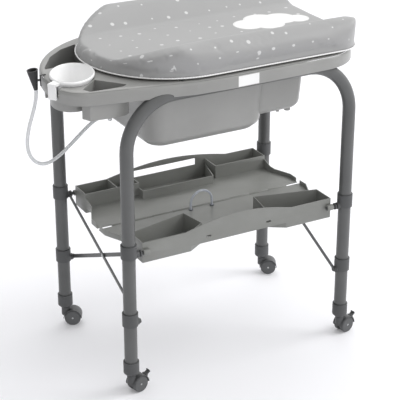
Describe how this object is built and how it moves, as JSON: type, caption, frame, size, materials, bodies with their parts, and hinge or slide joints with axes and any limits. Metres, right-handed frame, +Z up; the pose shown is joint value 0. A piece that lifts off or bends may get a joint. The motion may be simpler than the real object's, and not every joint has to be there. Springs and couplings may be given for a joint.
{
  "type": "changing table",
  "caption": "Folding changing table: a padded mat on a moulded bath with a tray and cup, on two tube frames with a hinged shelf, crossed braces and castors.",
  "frame": {"origin": "centre of the bounding box on the floor, measured without the drain hose, its nozzle and clip", "axes": "+X along the table, away from the tray; +Y from the front frame to the rear frame, towards the mat hinge; +Z up"},
  "size_m": [0.9782, 0.544, 1.0174],
  "materials": {
    "painted_tube": "satin",
    "dark_plastic": "satin",
    "bar_metal": "satin",
    "steel": "satin",
    "shelf_plastic": "satin",
    "bath_plastic": "satin",
    "loop_plastic": "gloss",
    "button_plastic": "satin",
    "hood_plastic": "satin",
    "wheel_rubber": "matte",
    "plate_print": "gloss",
    "clear_tube": "gloss",
    "black_rubber": "satin",
    "cup_plastic": "gloss",
    "mat_cloth": "satin",
    "board_wood": "matte"
  },
  "bodies": {
    "front_frame": {"front_arch": "painted_tube", "collars_lower_front": "dark_plastic", "brace_pins_front": "dark_plastic", "sleeves_front": "dark_plastic"},
    "collars_front": {"collars_upper_front": "dark_plastic", "shelf_pins_front": "dark_plastic"},
    "shelf_front_half": {"shelf_front": "shelf_plastic", "shelf_hinge_pin": "steel", "pull_loop": "loop_plastic", "loop_anchors": "button_plastic"},
    "shelf_rear_half": {"shelf_rear": "shelf_plastic"},
    "collars_rear": {"collars_upper_rear": "dark_plastic", "shelf_pins_rear": "dark_plastic"},
    "rear_frame": {"rear_arch": "painted_tube", "collars_lower_rear": "dark_plastic", "brace_pins_rear": "dark_plastic", "sleeves_rear": "dark_plastic"},
    "bar_a_left": {"brace_a_left": "bar_metal", "rivet_a_left": "steel"},
    "bar_a_right": {"brace_a_right": "bar_metal", "rivet_a_right": "steel"},
    "bar_b_left": {"brace_b_left": "bar_metal", "rivet_b_left": "steel"},
    "bar_b_right": {"brace_b_right": "bar_metal", "rivet_b_right": "steel"},
    "tub": {"bath": "bath_plastic", "saddles": "bath_plastic", "bath_feet": "bath_plastic", "name_plate": "plate_print", "drain_spout": "clear_tube", "hinge_leaves_bath": "steel", "mat_hinge_pins": "steel", "hose": "clear_tube", "hose_nozzle": "black_rubber", "nozzle_clip": "black_rubber"},
    "mat": {"mat_board": "board_wood", "mat_cushion": "mat_cloth", "mat_pads": "black_rubber", "hinge_leaves_mat": "steel"},
    "rinse_cup": {"cup": "cup_plastic"},
    "plug": {"drain_plug": "black_rubber"},
    "castor_fl": {"hood_fl": "hood_plastic", "stem_fl": "steel", "axle_fl": "steel"},
    "wheelset_fl": {"wheels_fl": "wheel_rubber"},
    "brake_lever_fl": {"brake_fl": "hood_plastic"},
    "castor_fr": {"hood_fr": "hood_plastic", "stem_fr": "steel", "axle_fr": "steel"},
    "wheelset_fr": {"wheels_fr": "wheel_rubber"},
    "brake_lever_fr": {"brake_fr": "hood_plastic"},
    "castor_rl": {"hood_rl": "hood_plastic", "stem_rl": "steel", "axle_rl": "steel"},
    "wheelset_rl": {"wheels_rl": "wheel_rubber"},
    "castor_rr": {"hood_rr": "hood_plastic", "stem_rr": "steel", "axle_rr": "steel"},
    "wheelset_rr": {"wheels_rr": "wheel_rubber"}
  },
  "joints": [
    {"name": "fold", "type": "hinge", "parent": "collars_front", "child": "shelf_front_half", "pos_m": [0.05221, -0.233, 0.44], "axis": [1, 0, 0], "range_deg": [0, 69]},
    {"name": "collars_front_slide", "type": "slide", "parent": "front_frame", "child": "collars_front", "axis": [0, 0, 1], "range_m": [0, 0.2591]},
    {"name": "shelf_hinge", "type": "hinge", "parent": "shelf_front_half", "child": "shelf_rear_half", "pos_m": [0.05221, 0, 0.422], "axis": [1, 0, 0], "range_deg": [-138, 0]},
    {"name": "shelf_rear_pivot", "type": "hinge", "parent": "shelf_rear_half", "child": "collars_rear", "pos_m": [0.05221, 0.233, 0.44], "axis": [1, 0, 0], "range_deg": [0, 69]},
    {"name": "collars_rear_slide", "type": "slide", "parent": "collars_rear", "child": "rear_frame", "axis": [0, 0, 1], "range_m": [-0.2591, 0]},
    {"name": "bar_a_left_pivot", "type": "hinge", "parent": "front_frame", "child": "bar_a_left", "pos_m": [-0.28029, -0.233, 0.228], "axis": [1, 0, 0], "range_deg": [0, 42.5]},
    {"name": "bar_b_left_pivot", "type": "hinge", "parent": "rear_frame", "child": "bar_b_left", "pos_m": [-0.27629, 0.233, 0.228], "axis": [1, 0, 0], "range_deg": [-42.5, 0]},
    {"name": "bar_a_right_pivot", "type": "hinge", "parent": "front_frame", "child": "bar_a_right", "pos_m": [0.38471, -0.233, 0.228], "axis": [1, 0, 0], "range_deg": [0, 42.5]},
    {"name": "bar_b_right_pivot", "type": "hinge", "parent": "rear_frame", "child": "bar_b_right", "pos_m": [0.38071, 0.233, 0.228], "axis": [1, 0, 0], "range_deg": [-42.5, 0]},
    {"name": "tub_lift", "type": "slide", "parent": "front_frame", "child": "tub", "axis": [0, 0, 1], "range_m": [0, 0.52]},
    {"name": "mat_hinge", "type": "hinge", "parent": "tub", "child": "mat", "pos_m": [0.05221, 0.266, 0.9354], "axis": [-1, 0, 0], "range_deg": [0, 90]},
    {"name": "cup_lift", "type": "slide", "parent": "tub", "child": "rinse_cup", "axis": [0, 0, 1], "range_m": [0, 0.15]},
    {"name": "plug_pull", "type": "slide", "parent": "tub", "child": "plug", "axis": [1, 0, 0], "range_m": [0, 0.06]},
    {"name": "swivel_fl", "type": "hinge", "parent": "front_frame", "child": "castor_fl", "pos_m": [-0.30779, -0.233, 0.06], "axis": [0, 0, 1], "continuous": true},
    {"name": "roll_fl", "type": "hinge", "parent": "castor_fl", "child": "wheelset_fl", "pos_m": [-0.28636, -0.22805, 0.025], "axis": [-0.225, 0.9744, 0], "continuous": true},
    {"name": "brake_fl_tilt", "type": "hinge", "parent": "castor_fl", "child": "brake_lever_fl", "pos_m": [-0.25882, -0.2217, 0.04002], "axis": [-0.225, 0.9744, 0], "range_deg": [0, 22]},
    {"name": "swivel_fr", "type": "hinge", "parent": "front_frame", "child": "castor_fr", "pos_m": [0.41221, -0.233, 0.06], "axis": [0, 0, 1], "continuous": true},
    {"name": "roll_fr", "type": "hinge", "parent": "castor_fr", "child": "wheelset_fr", "pos_m": [0.43365, -0.22805, 0.025], "axis": [-0.225, 0.9744, 0], "continuous": true},
    {"name": "brake_fr_tilt", "type": "hinge", "parent": "castor_fr", "child": "brake_lever_fr", "pos_m": [0.46118, -0.2217, 0.04002], "axis": [-0.225, 0.9744, 0], "range_deg": [0, 22]},
    {"name": "swivel_rl", "type": "hinge", "parent": "rear_frame", "child": "castor_rl", "pos_m": [-0.30779, 0.233, 0.06], "axis": [0, 0, 1], "continuous": true},
    {"name": "roll_rl", "type": "hinge", "parent": "castor_rl", "child": "wheelset_rl", "pos_m": [-0.28837, 0.22267, 0.025], "axis": [0.4695, 0.8829, 0], "continuous": true},
    {"name": "swivel_rr", "type": "hinge", "parent": "rear_frame", "child": "castor_rr", "pos_m": [0.41221, 0.233, 0.06], "axis": [0, 0, 1], "continuous": true},
    {"name": "roll_rr", "type": "hinge", "parent": "castor_rr", "child": "wheelset_rr", "pos_m": [0.43163, 0.22267, 0.025], "axis": [0.4695, 0.8829, 0], "continuous": true}
  ],
  "couplings": [
    {"joint": "collars_front_slide", "follows": "fold", "m_per_rad": 0.21507},
    {"joint": "shelf_hinge", "follows": "fold", "ratio": -2},
    {"joint": "shelf_rear_pivot", "follows": "fold", "ratio": 1},
    {"joint": "collars_rear_slide", "follows": "fold", "m_per_rad": -0.21507},
    {"joint": "bar_a_left_pivot", "follows": "fold", "ratio": 0.6155},
    {"joint": "bar_b_left_pivot", "follows": "fold", "ratio": -0.6155},
    {"joint": "bar_a_right_pivot", "follows": "fold", "ratio": 0.6155},
    {"joint": "bar_b_right_pivot", "follows": "fold", "ratio": -0.6155},
    {"joint": "tub_lift", "follows": "fold", "m_per_rad": 0.4317}
  ]
}
